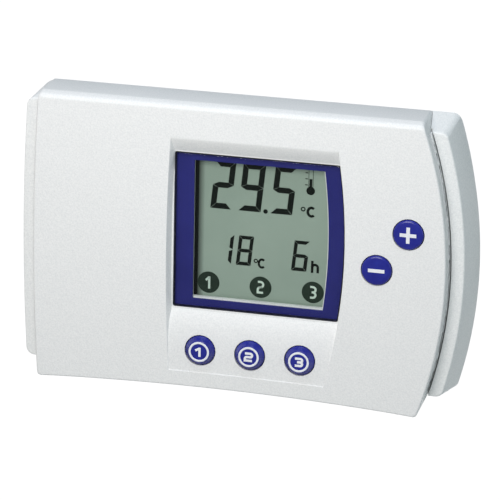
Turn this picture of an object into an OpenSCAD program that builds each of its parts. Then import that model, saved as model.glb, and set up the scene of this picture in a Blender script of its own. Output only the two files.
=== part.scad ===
// Wall thermostat: a landscape room thermostat for a heating circuit.
// +X to the right, +Z up, the wall is the plane y = 0 and the front looks along -Y.
// The origin is the middle of the four wall screws, on the wall face.

/* [Case] */
// Depth from the wall to the front panel
case_depth = 22; // [21:0.5:26]
// Height of the top edge above the origin
panel_top = 44.8; // [44:0.2:47]
// Height of the bottom edge at the middle of its arch
panel_bottom = -42.8; // [-45:0.2:-42]
// Furthest point of the front panel's left edge
panel_left = -62.6; // [-64:0.2:-62]
// Furthest point of the front panel's right edge
panel_right = 62.4; // [62:0.2:64]
// Radius of the strongly bowed right edge
right_bow = 133; // [120:1:150]
// Radius of the gently bowed left edge
left_bow = 720; // [500:10:900]
// Radius of the bottom edge's arch
arch_radius = 900; // [700:10:1200]
// Wall thickness of the front cover
cover_wall = 2; // [1.8:0.1:2.4]
// Wall thickness of the rear housing
housing_wall = 1.8; // [1.4:0.1:2]

/* [Side wings] */
// How far the wing faces lie behind the front panel
wing_setback = 5; // [4:0.5:6]
// Width of a wing from the panel's edge to the outer edge
wing_width = 4.6; // [4.2:0.1:5.5]
// How far the right wing's side flares out to its widest depth
wing_flare = 2.9; // [1:0.1:3.2]
// Width of the shadow groove between the panel and a wing
groove = 0.35; // [0.3:0.05:0.8]

/* [Display] */
// Depth of the recess around the window
recess_depth = 2.6; // [2:0.1:3]
// Left edge of the window
window_left = -19.9; // [-20.4:0.1:-19]
// Furthest point of the window's bowed right edge
window_right = 31.8; // [31:0.1:32]
// Top edge of the window
window_top = 29.4; // [28:0.1:30]
// Bottom edge of the window
window_bottom = -18.7; // [-19:0.1:-18]
// Radius of the window's bowed right edge
window_bow = 167; // [150:1:200]
// Thickness of the clear pane
pane = 1.5; // [1:0.1:1.6]
// Width of the blue border at the left
mask_border = 5.7; // [5:0.1:7]
// Width of the blue border at the furthest point of the right
mask_border_right = 5.2; // [4.8:0.1:6]
// Thickness of the display glass
lcd_thickness = 2.8; // [2:0.1:3]
// Depth of the display glass behind the front panel
lcd_depth = 7; // [6.6:0.1:7.5]

/* [Buttons] */
// Diameter of a button cap
cap_diameter = 9; // [8:0.1:9.4]
// Gap around a cap in its hole
cap_gap = 0.25; // [0.2:0.05:0.5]
// Travel of a button
key_travel = 1; // [0.6:0.1:1]
// Height of buttons 1 to 3 above the sloped face
cap_rise = 1.5; // [1:0.1:2]
// Height of the plus and minus buttons above the panel
sign_rise = 0.8; // [0.5:0.1:1.2]
// Spacing of buttons 1 to 3
key_pitch = 15.2; // [14.5:0.1:15.6]

/* [Wall fixing] */
// Horizontal spacing of the wall screws
screw_pitch_x = 60; // [60:0.5:61]
// Vertical spacing of the wall screws
screw_pitch_z = 71; // [70:0.5:71]
// Width of a screw slot
slot_width = 4.2; // [3.6:0.1:4.5]
// Length of a screw slot
slot_length = 7; // [5:0.5:8]

/* [Hidden] */
$fn = 48;
eps = 0.01;
fit = 0.1;              // gap around a part in its seat
// outline
arc_z = -1.8;           // height of the middle of both side bows
arch_x = -10;           // middle of the bottom edge's arch
right_fall = 2.35;      // how far the bottom edge falls from there to its right corner
left_fall = 1.45;       // the same to its left corner
top_at_face = 2;        // how far the top edge rolls down to reach the front face
top_roll = 3;           // depth of that roll
edge_r = 0.6;           // rounding of the panel's other edges
belt = 15;              // depth at which the case is highest and widest
top_taper = 2.6;        // fall of the top face from there to the wall
corner_r = 1.2;
side_top = 38.5;        // height of the cover's free side walls
cover_lip = 0.4;        // ledge at the foot of the side walls
lip_top = 40.9;         // height that the ledge's front part reaches
cover_room = 0.15;      // gap between the cover's walls and the wings above and below them
cover_side_end = 12;    // depth at which the side walls stop
ledge_rise = 0.6;       // how far that ledge starts in front of the wing faces
wing_top = 41.2;
wing_bottom = -39.8;
wing_corner = 2.5;      // corner radius of the wings
left_corner = 6;        // corner radius of the left wing behind its face
left_draw = 1.3;        // how far the left wing's side draws in at the belt
back_draw = 1.5;        // how far both sides draw in from there to the wall
belt_bottom = -40;      // lower end of the wings at the belt
wing_back_top = panel_top - top_taper;
wing_back_bottom = -42.2;
room_back_bottom = -39.8; // lower end of the housing's inside at the wall
back_wall = case_depth - 1.8;
hook_x = [-24, 24];
hook_half = 3;          // half the width of a hook
hook_catch = [17, 18.2]; // depth of the cover's ribs
hook_depth = [15.2, 16.6]; // depth of the housing's hooks
rim_depth = 12;         // front edge of the housing's inner rim
rim_top = [39.3, 40.6];
rim_bottom = [-40.6, -39.3];
entry_x = [37, 56];
entry_z = [-40.4, -34];
vent_x = -34;
vent_count = 8;
vent_pitch = 4;
vent_width = 2;
vent_depth = [9, 17];
// display
recess_left = -21.5;
recess_right = 32.3;
recess_top = 34.3;
recess_bottom = -38;
recess_foot = 0.25;     // depth at the recess's bottom edge
recess_arch = 1500;     // radius of the recess's bottom edge
recess_bow = 170;
recess_bow_z = 3.6;
recess_left_bow = 600;
ramp_end = window_bottom - 0.5;
backing_edge = 2.2;     // depth of the recess's back wall at its outer edges
mask_depth = recess_depth + pane;
ledge_depth = mask_depth + 0.5;
ledge_back = ledge_depth + 1.3;
opening_left = window_left + mask_border;
opening_right = window_right - mask_border_right;
opening_top = window_top - 2.6;
opening_bottom = window_bottom + 2.6;
ledge_show = 0.3;       // how far the cover's ledge shows past the mask at the right
ledge_show_low = 0.5;   // the same at the bottom
lcd_left = -17;
lcd_right = 29.3;
lcd_top = 29.4;
lcd_bottom = -18.4;
lcd_back = lcd_depth + lcd_thickness;
holder_wall = 1.2;
reflector = 0.4;
strip_width = 2;
// board
board_front = 15.4;
board_back = board_front + 1.6;
board_x = [-25, 54];
board_z = [-32.5, 31];
screw_posts = [[-21.5, 27.5], [-21.5, -27.5], [49, -17], [50, 25]];
post_outer_r = 2.6;
board_screw_r = 1;
fixing_screw_r = 1;
fixing_depth = 18.75;
fixing_boss = 3.4;      // half the width of the fixing screw's boss
// lower and upper end of that screw's head
screw_head = [panel_bottom + 0.2, panel_bottom + 1.2];
wall_screw_gap = 4.4;   // radius of the board's holes in front of the wall screws
chip_at = [5, 5];
chip_half = 5;
chip_height = 1.6;
pin_pitch = 1.1;
crystal_x = [-10, -3.5];
crystal_z = 5;
crystal_r = 2.2;
crystal_height = 3.6;
chip_part = [2, 0.8, 1.2]; // length, height and width of a chip part
// rows of chip parts: first x, pitch, count, z
chip_rows = [[-11, 4.5, 6, 16], [-11, 5.5, 5, -10], [33, 3.5, 3, 7]];
// capacitors: x, z, radius, height
cans = [[35, -12, 3.1, 7], [42.4, -13.8, 2.5, 5.4]];
relay_x = [34.6, 44.4];
relay_z = [12, 30.8];
relay_height = 10;
thermistor_x = -20.5;
bead_r = 1.3;
lead_r = 0.25;
terminal_x = [34, 50.4];
terminal_z = [-32, -23.5];
terminal_height = 9.4;
pole_x = [37.2, 42.2, 47.2];
pole_z = -28;
pole_r = 1.9;
clamp_depth = [5.5, 1.3]; // height of a clamp's two ends above the board
// keys
cap_r = cap_diameter / 2;
collar_end = 4.6;
flange = 0.9;
flange_extra = 1.1;     // how far a cap's flange reaches past its hole
flange_room = 0.2;      // gap around a flange behind the cover
crown_r = [3.25, 3.5];  // radii of a row cap's flat crown
crown_step = 0.25;      // height between them
mat_front = board_front - 1;
post_r = 2.4;
skirt = 1.8;            // height of the skirts on the keypad mats
post_top = collar_end + fit + flange;
post_foot = board_front - key_travel - 0.15;
row_z = -31.1;
row_x = 4.5;
plus_at = [51, 11.2];
minus_at = [42, -0.5];
// batteries
cell_r = 5.2;
cell_depth = 13.2;
cell_x = [-51.2, -40.2];
cell_top = 24;
spring_top = -20.5;
spring_wire = 0.35;
spring_r = [3.6, 2.2];
plate_half = 4.2;       // half the width of a contact plate
plate = 0.4;
tray_wall = 1.2;
tray_end = 25.6;
tray_front = 10;
well = 5.4;             // half the width of a cell's place in the tray

// ---- Outlines, in the X-Z plane ----

// points along an arc from angle a0 to angle a1
function arc(centre, r, a0, a1, n) =
    [for (i = [0:n]) let (a = a0 + (a1 - a0) * i / n) centre + r * [cos(a), sin(a)]];

// angle at which a bow of radius r, rounded by f, meets the level z
function bow_angle(r, f, z) = asin((z - arc_z) / (r - f));

// right side of an outline from bottom to top: corner, bow, corner
function right_side(x, r, f, z0, z1) =
    let (c = [x - r, arc_z], a0 = bow_angle(r, f, z0 + f), a1 = bow_angle(r, f, z1 - f))
    concat(arc(c + (r - f) * [cos(a0), sin(a0)], f, -90, a0, 6),
        arc(c, r, a0, a1, 24),
        arc(c + (r - f) * [cos(a1), sin(a1)], f, a1, 90, 6));

// the same side mirrored to the left and run from top to bottom
function left_side(x, r, f, z0, z1) =
    let (side = right_side(-x, r, f, z0, z1), last = len(side) - 1)
    [for (i = [0:last]) [-side[last - i].x, side[last - i].y]];

// height of an arched edge at x
function arch(x, middle, r) = middle - (x - arch_x) * (x - arch_x) / (2 * r);

// outline of the front panel, grown outwards by g, with the top edge lowered by t
function panel_outline(g = 0, t = 0, f = corner_r) =
    let (low = panel_bottom - g, z1 = panel_top + g - t)
    concat(right_side(panel_right + g, right_bow + g, f, low - right_fall, z1),
        left_side(panel_left - g, left_bow + g, f, low - left_fall, z1),
        [for (i = [1:15]) let (x = panel_left + 3 + (panel_right - panel_left - 14) * i / 16)
            [x, arch(x, low, arch_radius)]]);

// outline of the rear housing with its wings: its sides grown by g[0] at the left and g[1] at
// the right beyond the front edge of the wings, its corners rounded by f[0] and f[1]
function wing_outline(g, top, bottom, f) =
    concat(right_side(panel_right + wing_width + g[1], right_bow + wing_width + g[1], f[1],
            bottom, top),
        left_side(panel_left - wing_width - g[0], left_bow + wing_width + g[0], f[0],
            bottom, top));

// ---- Helpers ----

// extrude an X-Z shape from depth d0 to depth d1 behind the front panel
module slab(d0, d1) {
    translate([0, d1 - case_depth, 0]) rotate([90, 0, 0]) linear_extrude(d1 - d0) children();
}

// skin a solid through outlines of equal point counts, each given as [depth, points]
module loft(sections) {
    n = len(sections[0][1]);
    last = len(sections) - 1;
    points = [for (s = sections) for (p = s[1]) [p.x, s[0] - case_depth, p.y]];
    sides = [for (k = [0:last - 1]) for (i = [0:n - 1]) let (j = (i + 1) % n)
        [k * n + i, k * n + j, (k + 1) * n + j, (k + 1) * n + i]];
    polyhedron(points, concat([[for (i = [0:n - 1]) n - 1 - i]],
        [[for (i = [0:n - 1]) last * n + i]], sides), convexity = 8);
}

// box given by its X, depth and Z limits
module block(x0, x1, d0, d1, z0, z1) {
    translate([x0, d0 - case_depth, z0]) cube([x1 - x0, d1 - d0, z1 - z0]);
}

// round rod along the depth direction at [x, z], with its own radius at the front if given
module rod(at, r, d0, d1, front_r = undef) {
    translate([at.x, d1 - case_depth, at.y]) rotate([90, 0, 0])
        cylinder(h = d1 - d0, r1 = r, r2 = is_undef(front_r) ? r : front_r);
}

// X-Z rectangle
module area(x0, x1, z0, z1) {
    translate([x0, z0]) square([x1 - x0, z1 - z0]);
}

// X-Z shape with a straight left side and a bowed right side
module bowed_area(x0, x1, z0, z1, bow) {
    intersection() {
        area(x0, x1 + 1, z0, z1);
        translate([x1 - bow, recess_bow_z]) circle(r = bow, $fn = 720);
    }
}

function row_at(i) = [row_x + (i - 2) * key_pitch, row_z];
key_places = [row_at(1), row_at(2), row_at(3), plus_at, minus_at];

// depth of the sloped face below the window at height z: nearly flat, then falling ever faster
function slope_depth(z) =
    let (t = (z - recess_bottom) / (ramp_end - recess_bottom))
    recess_foot + (recess_depth - recess_foot) * (0.12 * t + 0.88 * t ^ 4);

// ---- Case ----

// outline of the recess between its bowed sides
module recess_area() {
    intersection() {
        polygon([[recess_right + 1, recess_top], [recess_left - 1, recess_top],
            for (i = [0:8]) let (x = recess_left - 1 + (recess_right - recess_left + 2) * i / 8)
                [x, arch(x, recess_bottom, recess_arch)]]);
        translate([recess_right - recess_bow, recess_bow_z]) circle(r = recess_bow, $fn = 720);
        translate([recess_left + recess_left_bow, 0]) circle(r = recess_left_bow, $fn = 1440);
    }
}

// prism along X whose section is given as [depth, height] points
module across(x0, x1, section) {
    translate([x0, 0, 0]) rotate([90, 0, 90]) linear_extrude(x1 - x0)
        polygon([for (p = section) [p.x - case_depth, p.y]]);
}

// recess around the display: flat behind the window, ramps above and below it
module recess() {
    foot = recess_bottom - 1.5;
    intersection() {
        slab(-1, recess_depth + 1) recess_area();
        across(recess_left - 2, recess_right + 2, [[-1, foot],
            for (i = [0:16]) let (z = foot + (ramp_end - foot) * i / 16) [slope_depth(z), z],
            [recess_depth, window_top + 0.5], [0, recess_top], [-1, recess_top]]);
    }
}

// wall behind the recess, which carries the window
module recess_backing() {
    across(recess_left - 2, recess_right + 2, [[1, recess_bottom - 1],
        [backing_edge, recess_bottom - 1], [ledge_back, window_bottom - 1.6],
        [ledge_back, window_top + 1.6], [backing_edge, recess_top + 1], [1, recess_top + 1]]);
}

// ledge at the foot of the cover's side walls, from depth d0 to d1 up to the height z
module side_ledge(d0, d1, z) {
    slab(d0, d1) difference() {
        polygon(panel_outline(cover_lip));
        polygon(panel_outline(0.5 - cover_wall));
        area(-80, 80, z, 60);
        area(-80, 80, -60, -z);
    }
}

// section of the cover at depth d, with its sides set in and its top edge lowered
function cover_section(d, inset, fall) = [d, panel_outline(-inset, fall - inset)];

module front_cover() color("whitesmoke") {
    difference() {
        union() {
            difference() {
                loft([cover_section(0, edge_r, top_at_face),
                    cover_section(edge_r / 2, edge_r / 4, 0.7 * top_at_face),
                    cover_section(2 * edge_r, 0, top_at_face / 3),
                    cover_section(top_roll, 0, 0),
                    cover_section(belt, 0, 0),
                    cover_section(case_depth, 0, top_taper)]);
                loft([[cover_wall, panel_outline(-cover_wall, 1)],
                    [top_roll + 1, panel_outline(-cover_wall)],
                    [belt, panel_outline(-cover_wall)],
                    [case_depth + eps, panel_outline(-cover_wall, top_taper)]]);
            }
            side_ledge(wing_setback - ledge_rise, cover_side_end, side_top);
            side_ledge(wing_setback - ledge_rise, wing_setback + housing_wall, lip_top);
            recess_backing();
            for (at = key_places) rod(at, cap_r + 2, 1, collar_end);
            for (at = screw_posts) rod(at, post_outer_r, 1, board_front);
            // ribs that catch behind the housing's hooks
            for (x = hook_x) block(x - hook_half, x + hook_half, hook_catch[0], hook_catch[1],
                rim_top[1] + 0.35, panel_top - 2.3);
        }
        recess();
        slab(-1, ledge_depth)
            bowed_area(window_left, window_right, window_bottom, window_top, window_bow);
        slab(-1, ledge_back + 1)
            bowed_area(opening_left - 0.2, opening_right - ledge_show,
                opening_bottom + ledge_show_low, opening_top + 0.2, window_bow);
        for (at = key_places) {
            rod(at, cap_r + cap_gap, -1, collar_end + 1);
            rod(at, cap_r + cap_gap + flange_extra + flange_room, collar_end, ledge_back + 1);
        }
        for (at = screw_posts) rod(at, board_screw_r + 0.05, 9, board_front + 1);
        // the side walls stop where the housing passes behind them
        block(-80, 80, cover_side_end, case_depth + 1, -side_top, side_top);
        for (i = [0:vent_count - 1])
            block(vent_x + vent_pitch * i, vent_x + vent_width + vent_pitch * i,
                vent_depth[0], vent_depth[1], -50, -40);
        // fixing screw in the bottom wall, with room for its head
        fixing_hole(-40, fixing_screw_r + 0.3);
        fixing_hole(screw_head[1], 2.3);
    }
}

// upright hole from below the case to the height z, on the fixing screw's axis
module fixing_hole(z, r) {
    translate([0, fixing_depth - case_depth, -50]) cylinder(h = z + 50, r = r);
}

// space that the cover's walls take inside the housing's outline
module cover_clearance() {
    slab(wing_setback - 1, wing_setback + housing_wall + 0.2)
        polygon(panel_outline(cover_lip + groove));
    slab(wing_setback - 1, case_depth + 1) difference() {
        polygon(panel_outline(cover_room));
        polygon(panel_outline(-cover_wall - 0.4, top_taper));
        area(-80, 80, 0.5 - side_top, side_top - 0.5);
    }
}

module screw_slot(x, z) {
    run = (slot_length - slot_width) / 2;
    for (side = [-1, 1]) rod([x + side * run, z], slot_width / 2, back_wall - 1, case_depth + 1);
    block(x - run, x + run, back_wall - 1, case_depth + 1, z - slot_width / 2, z + slot_width / 2);
}

// section of the housing's outside at depth d, set in by e
function wing_section(d, e) =
    [d, wing_outline([-e, -e], wing_top - e, wing_bottom + e, [wing_corner, wing_corner])];

// section of the housing's inside at depth d, its sides grown by g
function room_section(d, g, top, bottom, f) =
    [d, wing_outline([g[0] - housing_wall, g[1] - housing_wall], top - housing_wall, bottom, f)];

module rear_housing() color("gainsboro") {
    difference() {
        loft([wing_section(wing_setback, 0.5), wing_section(wing_setback + 0.15, 0.15),
            wing_section(wing_setback + 0.5, 0),
            [belt, wing_outline([-left_draw, wing_flare], panel_top, belt_bottom,
                [left_corner, wing_corner])],
            [case_depth, wing_outline([-left_draw - back_draw, wing_flare - back_draw],
                wing_back_top, wing_back_bottom, [left_corner, wing_corner])]]);
        loft([room_section(wing_setback + housing_wall, [0, 0.2], wing_top,
                wing_bottom + housing_wall, [1.5, 1.5]),
            room_section(belt, [-left_draw, wing_flare - 0.2], panel_top,
                belt_bottom + housing_wall, [4, 1.5]),
            room_section(back_wall, [-left_draw - back_draw, wing_flare - back_draw],
                wing_back_top, room_back_bottom, [4, 1.5])]);
        cover_clearance();
        for (sx = [-1, 1], sz = [-1, 1]) screw_slot(sx * screw_pitch_x / 2, sz * screw_pitch_z / 2);
        // under the cover's top wall nothing is left in front of the rim
        block(-60, 54, wing_setback, rim_depth, 39.2, panel_top);
        // cable entry
        block(entry_x[0], entry_x[1], back_wall - 1, case_depth + 1, entry_z[0], entry_z[1]);
        fixing_hole(-36.6, fixing_screw_r + 0.05);
    }
    housing_rim();
}

// inner rim with the hooks for the cover and the boss of its fixing screw
module housing_rim() {
    block(-46, 46, rim_depth, back_wall + eps, rim_top[0], rim_top[1]);
    for (x = hook_x)
        block(x - hook_half, x + hook_half, hook_depth[0], hook_depth[1], rim_top[1] - 0.1, 41.3);
    block(-56, -38, rim_depth, back_wall + eps, rim_bottom[0], rim_bottom[1]);
    block(8, 24, board_back + 1, back_wall + eps, rim_bottom[0], rim_bottom[1]);
    difference() {
        block(-fixing_boss, fixing_boss, board_back + 0.3, back_wall + eps, -40.4, -36.2);
        fixing_hole(-36.6, fixing_screw_r + 0.05);
    }
}

// ---- Display ----

module display_window() color("lightsteelblue", 0.4) {
    slab(recess_depth, mask_depth)
        bowed_area(window_left + fit, window_right - fit, window_bottom + fit, window_top - fit,
            window_bow);
}

module window_mask() color("midnightblue") {
    slab(mask_depth, ledge_depth) difference() {
        bowed_area(window_left + fit, window_right - fit, window_bottom + fit, window_top - fit,
            window_bow);
        bowed_area(opening_left, opening_right, opening_bottom, opening_top, window_bow);
    }
}

module lcd_panel() color("darkseagreen") {
    block(lcd_left, lcd_right, lcd_depth, lcd_back, lcd_bottom, lcd_top);
}

module lcd_reflector() color("silver") {
    block(lcd_left + 0.5, lcd_right - 0.5, lcd_back, lcd_back + reflector,
        lcd_bottom + strip_width + 0.5, lcd_top - strip_width - 0.5);
}

module lcd_holder() color("dimgray") {
    difference() {
        block(lcd_left - holder_wall, lcd_right + holder_wall, ledge_back + 0.1, board_front,
            lcd_bottom - holder_wall, lcd_top + holder_wall);
        block(lcd_left - 0.05, lcd_right + 0.05, lcd_depth - 0.05, board_front + 1,
            lcd_bottom - 0.05, lcd_top + 0.05);
        block(lcd_left + 1.5, lcd_right - 1.5, 0, board_front + 1, lcd_bottom + 1.5, lcd_top - 1.5);
    }
}

// elastomer connectors that join the display's edges to the board
module zebra_strips() color("darkslategray") {
    for (z = [lcd_bottom + 0.2, lcd_top - 0.2 - strip_width])
        block(lcd_left + 1, lcd_right - 1, lcd_back, board_front, z, z + strip_width);
}

// ---- Circuit board and its parts ----

module circuit_board() color("darkgreen") {
    difference() {
        union() {
            block(board_x[0], board_x[1], board_front, board_back, board_z[0], board_z[1]);
            block(row_x - key_pitch - 6.4, row_x + key_pitch + 5.2, board_front, board_back,
                row_z - 6.6, board_z[0] + 1);
        }
        for (at = screw_posts) rod(at, board_screw_r + 0.2, board_front - 1, board_back + 1);
        for (sx = [-1, 1], sz = [-1, 1])
            rod([sx * screw_pitch_x / 2, sz * screw_pitch_z / 2], wall_screw_gap,
                board_front - 1, board_back + 1);
    }
}

// flat square chip with eight pins along each edge
module microcontroller() color("black") {
    block(chip_at.x - chip_half, chip_at.x + chip_half, board_front - chip_height,
        board_front - 0.15, chip_at.y - chip_half, chip_at.y + chip_half);
    for (i = [0:7], turn = [0:3])
        translate([chip_at.x, 0, chip_at.y]) rotate([0, 90 * turn, 0])
            translate([pin_pitch * (i - 3.5) - 0.2, board_front - 0.7 - case_depth,
                chip_half - 0.1]) cube([0.4, 0.7, 1.2]);
}

module crystal() color("silver") {
    for (x = crystal_x) rod([x, crystal_z], crystal_r, board_front - crystal_height, board_front);
    block(crystal_x[0], crystal_x[1], board_front - crystal_height, board_front,
        crystal_z - crystal_r, crystal_z + crystal_r);
}

// surface-mount resistors and capacitors in rows
module chip_parts() color("saddlebrown") {
    for (row = chip_rows, i = [0:row[2] - 1]) {
        x = row[0] + row[1] * i;
        block(x, x + chip_part[0], board_front - chip_part[1], board_front,
            row[3], row[3] + chip_part[2]);
    }
}

module capacitors() color("darkslateblue") {
    for (c = cans) rod([c[0], c[1]], c[2], board_front - c[3], board_front);
}

module relay() color("orange") {
    block(relay_x[0], relay_x[1], board_front - relay_height, board_front, relay_z[0], relay_z[1]);
}

module thermistor() color("darkkhaki") {
    translate([thermistor_x, board_front - 0.6 - case_depth, board_z[0] - 3.7]) {
        sphere(r = bead_r);
        for (x = [-0.8, 0.8]) translate([x, 0, 0]) cylinder(h = 5.2, r = lead_r);
    }
}

module terminal_block() color("seagreen") {
    difference() {
        block(terminal_x[0], terminal_x[1], board_front - terminal_height, board_front,
            terminal_z[0], terminal_z[1]);
        for (x = pole_x) {
            block(x - 2, x + 2, board_front - clamp_depth[0] - 0.1,
                board_front - clamp_depth[1] + 0.1, terminal_z[0] - 1, terminal_z[1] - 1.4);
            rod([x, pole_z], pole_r, board_front - terminal_height - 1, board_front - 5);
        }
    }
}

module terminal_screws() color("silver") {
    for (x = pole_x) difference() {
        rod([x, pole_z], pole_r - 0.15, board_front - 8.8, board_front - clamp_depth[0]);
        block(x - pole_r, x + pole_r, board_front - 9, board_front - 8.2,
            pole_z - 0.3, pole_z + 0.3);
    }
}

module terminal_clamps() color("goldenrod") {
    for (x = pole_x) difference() {
        block(x - pole_r, x + pole_r, board_front - clamp_depth[0], board_front - clamp_depth[1],
            pole_z - 2.2, pole_z + 2.2);
        block(x - pole_r + 0.6, x + pole_r - 0.6, board_front - clamp_depth[0] + 0.8,
            board_front - clamp_depth[1] - 0.7, pole_z - 3, pole_z + 3);
    }
}

// silicone sheet on the board with a hole and a raised skirt at each key
module keypad(places, pad) color("lightgray") {
    difference() {
        union() {
            slab(mat_front, board_front) children();
            for (at = places) rod(at, post_r + 2, mat_front - skirt, mat_front + eps, post_r + 1);
        }
        for (at = places) {
            rod(at, post_r + 1.3, mat_front - skirt - eps, mat_front, post_r + 0.4);
            rod(at, post_r + 1.3, mat_front - eps, board_front + 1);
        }
    }
}

module keypad_lower() {
    keypad([for (i = [1:3]) row_at(i)])
        area(row_x - key_pitch - 6, row_x + key_pitch + 5, row_z - 6, row_z + 6);
}

module keypad_side() {
    keypad([plus_at, minus_at]) {
        for (at = [plus_at, minus_at]) translate(at) circle(r = 6);
        translate(minus_at) rotate(atan2(plus_at.y - minus_at.y, plus_at.x - minus_at.x))
            area(0, norm(plus_at - minus_at), -4, 4);
    }
}

// ---- Batteries ----

// open tray with a low ridge between the two cells
module battery_tray() color("slategray") {
    difference() {
        block(cell_x[0] - well - 1.6, cell_x[1] + well + 1.6, tray_front, back_wall,
            -tray_end, tray_end);
        block(cell_x[0] - well, cell_x[1] + well, tray_front - 1, back_wall - tray_wall,
            tray_wall - tray_end, tray_end - tray_wall);
    }
    ridge_x = (cell_x[0] + cell_x[1]) / 2;
    block(ridge_x - 0.5, ridge_x + 0.5, cell_depth + 3.3, back_wall - tray_wall + eps,
        3 - cell_top, cell_top - 3);
}

// one cell with its positive end up, or down when flipped
module cell(x, flipped) {
    translate([x, cell_depth - case_depth, 0]) mirror([0, 0, flipped ? 1 : 0]) {
        translate([0, 0, spring_top]) cylinder(h = cell_top - 0.8 - spring_top, r = cell_r);
        translate([0, 0, cell_top - 0.8 - eps]) cylinder(h = 0.8 + eps, r = 1.9);
    }
}

module battery_left() color("steelblue") cell(cell_x[0], false);
module battery_right() color("steelblue") cell(cell_x[1], true);

// tube of 8 sides along a conical spiral
module spiral(r0, r1, h, turns, wire) {
    steps = 16 * turns;
    rings = [for (i = [0:steps]) let (a = 360 * i / 16, r = r0 + (r1 - r0) * i / steps)
        for (k = [0:7]) let (b = 45 * k, q = r + wire * cos(b))
            [q * cos(a), q * sin(a), h * i / steps + wire * sin(b)]];
    polyhedron(rings, concat([[for (k = [0:7]) k]], [[for (k = [0:7]) steps * 8 + 7 - k]],
        [for (i = [0:steps - 1]) for (k = [0:7]) let (j = (k + 1) % 8)
            [i * 8 + k, (i + 1) * 8 + k, (i + 1) * 8 + j, i * 8 + j]]), convexity = 6);
}

module battery_springs() color("silver") {
    height = spring_top + cell_top - 2 * spring_wire;
    for (i = [0, 1]) translate([cell_x[i], cell_depth - case_depth, 0]) mirror([0, 0, i])
        translate([0, 0, spring_wire - cell_top])
            spiral(spring_r[0], spring_r[1], height, 3, spring_wire - 0.02);
}

module contact_plate(x0, x1, z) {
    block(x0 - plate_half, x1 + plate_half, cell_depth - 3, back_wall - 2, z, z + plate);
}

// bridge that joins the cells in series at the top, and two end contacts below
module battery_plates() color("silver") {
    contact_plate(cell_x[0], cell_x[1], cell_top);
    for (x = cell_x) contact_plate(x, x, -cell_top - plate);
}

// ---- Screws ----

module board_screws() color("silver") {
    for (at = screw_posts) difference() {
        union() {
            rod(at, board_screw_r, 10, board_back + eps);
            rod(at, 2.1, board_back, board_back + 1.3);
        }
        block(at.x - 1.4, at.x + 1.4, board_back + 0.8, board_back + 2, at.y - 0.25, at.y + 0.25);
        block(at.x - 0.25, at.x + 0.25, board_back + 0.8, board_back + 2, at.y - 1.4, at.y + 1.4);
    }
}

// screw through the bottom wall that fixes the cover to the housing
module cover_screw() color("silver") {
    translate([0, fixing_depth - case_depth, 0]) difference() {
        union() {
            translate([0, 0, screw_head[1] - 0.1]) cylinder(h = 4.9, r = fixing_screw_r);
            translate([0, 0, screw_head[0]]) cylinder(h = screw_head[1] - screw_head[0], r = 2.1);
        }
        for (turn = [0, 90]) rotate(turn)
            translate([-1.4, -0.25, screw_head[0] - 0.8]) cube([2.8, 0.5, 1.3]);
    }
}

// ---- Keys ----

// flange behind the cover that holds a cap in its hole
module cap_flange(at) {
    rod(at, cap_r + cap_gap + flange_extra, collar_end + fit, collar_end + fit + flange);
}

// cap that stands proud of the sloped face: a cone with a flat crown
module row_cap(i) {
    at = row_at(i);
    face = slope_depth(row_z);
    top = face - cap_rise;
    rod(at, cap_r, face - eps, collar_end + 0.2);
    rod(at, cap_r, top + crown_step, face, crown_r[1]);
    rod(at, crown_r[1], top, top + crown_step + eps, crown_r[0]);
    cap_flange(at);
}

// low round cap with a softened rim
module sign_cap(at) {
    rod(at, cap_r, 0.5 - sign_rise, collar_end + 0.2);
    rod(at, cap_r, -sign_rise, 0.5 - sign_rise + eps, cap_r - 0.5);
    cap_flange(at);
}

// rubber key between a cap and the board, with the narrower contact pill at its foot
module key_post(at) color("silver") {
    rod(at, post_r, post_top, post_foot - 0.8);
    rod(at, post_r - 0.5, post_foot - 0.8 - eps, post_foot);
}

module button_1() color("mediumblue") row_cap(1);
module button_2() color("mediumblue") row_cap(2);
module button_3() color("mediumblue") row_cap(3);
module button_plus() color("mediumblue") sign_cap(plus_at);
module button_minus() color("mediumblue") sign_cap(minus_at);

module key_post_1() key_post(row_at(1));
module key_post_2() key_post(row_at(2));
module key_post_3() key_post(row_at(3));
module key_post_plus() key_post(plus_at);
module key_post_minus() key_post(minus_at);

front_cover();
rear_housing();
display_window();
window_mask();
lcd_panel();
lcd_reflector();
lcd_holder();
zebra_strips();
circuit_board();
microcontroller();
crystal();
chip_parts();
capacitors();
relay();
thermistor();
terminal_block();
terminal_screws();
terminal_clamps();
keypad_lower();
keypad_side();
battery_tray();
battery_left();
battery_right();
battery_springs();
battery_plates();
board_screws();
cover_screw();
button_1();
button_2();
button_3();
button_plus();
button_minus();
key_post_1();
key_post_2();
key_post_3();
key_post_plus();
key_post_minus();
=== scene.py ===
import math

import bmesh
import bpy
from mathutils import Matrix, Vector


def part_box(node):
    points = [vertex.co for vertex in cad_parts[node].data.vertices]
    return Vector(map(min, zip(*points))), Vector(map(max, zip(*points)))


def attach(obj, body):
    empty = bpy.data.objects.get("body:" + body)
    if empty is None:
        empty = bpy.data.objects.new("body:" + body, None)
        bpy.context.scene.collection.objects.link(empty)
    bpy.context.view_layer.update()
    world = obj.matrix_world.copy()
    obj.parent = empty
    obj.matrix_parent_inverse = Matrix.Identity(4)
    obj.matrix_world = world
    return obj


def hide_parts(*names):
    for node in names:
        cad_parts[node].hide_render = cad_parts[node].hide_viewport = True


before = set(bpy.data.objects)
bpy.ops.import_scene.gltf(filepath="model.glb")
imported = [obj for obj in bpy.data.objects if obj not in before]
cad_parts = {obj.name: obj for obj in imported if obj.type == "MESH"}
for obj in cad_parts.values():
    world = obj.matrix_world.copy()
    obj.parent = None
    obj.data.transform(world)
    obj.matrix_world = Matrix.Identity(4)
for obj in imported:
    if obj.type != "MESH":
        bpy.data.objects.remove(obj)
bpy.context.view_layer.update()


# ---- Sizes, in millimetres: X to the right, Z up, and depth d behind the front panel ----

MM = 0.001


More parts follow.
